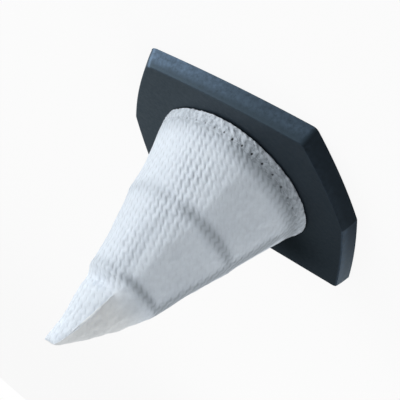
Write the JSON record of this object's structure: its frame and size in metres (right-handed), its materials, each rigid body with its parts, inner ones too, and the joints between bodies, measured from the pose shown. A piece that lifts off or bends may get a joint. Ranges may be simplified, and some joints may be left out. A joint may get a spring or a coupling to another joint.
{
  "type": "vacuum pre-motor filter",
  "caption": "Conical cloth pre-motor filter for a hand vacuum: a white ribbed sleeve with a folded tip on a tapered dark rubber seal flange.",
  "frame": {"origin": "centre of the flange's rear sealing face, at the bottom centre of the whole part's box", "axes": "+Z from the rear sealing face along the cone towards its tip; +Y towards the flange's narrow edge; +X across the flange's width"},
  "size_m": [0.0984, 0.0866, 0.095],
  "materials": {
    "seal_rubber": "matt, slightly mottled",
    "cage_plastic": "matt moulded plastic",
    "filter_cloth": "stitch-bonded cloth with zigzag wales",
    "elastic_thread": "covered elastic"
  },
  "bodies": {
    "root": {"seal_flange": "seal_rubber", "cage_frame": "cage_plastic", "filter_sleeve": "filter_cloth", "hem_elastic": "elastic_thread"}
  },
  "joints": []
}
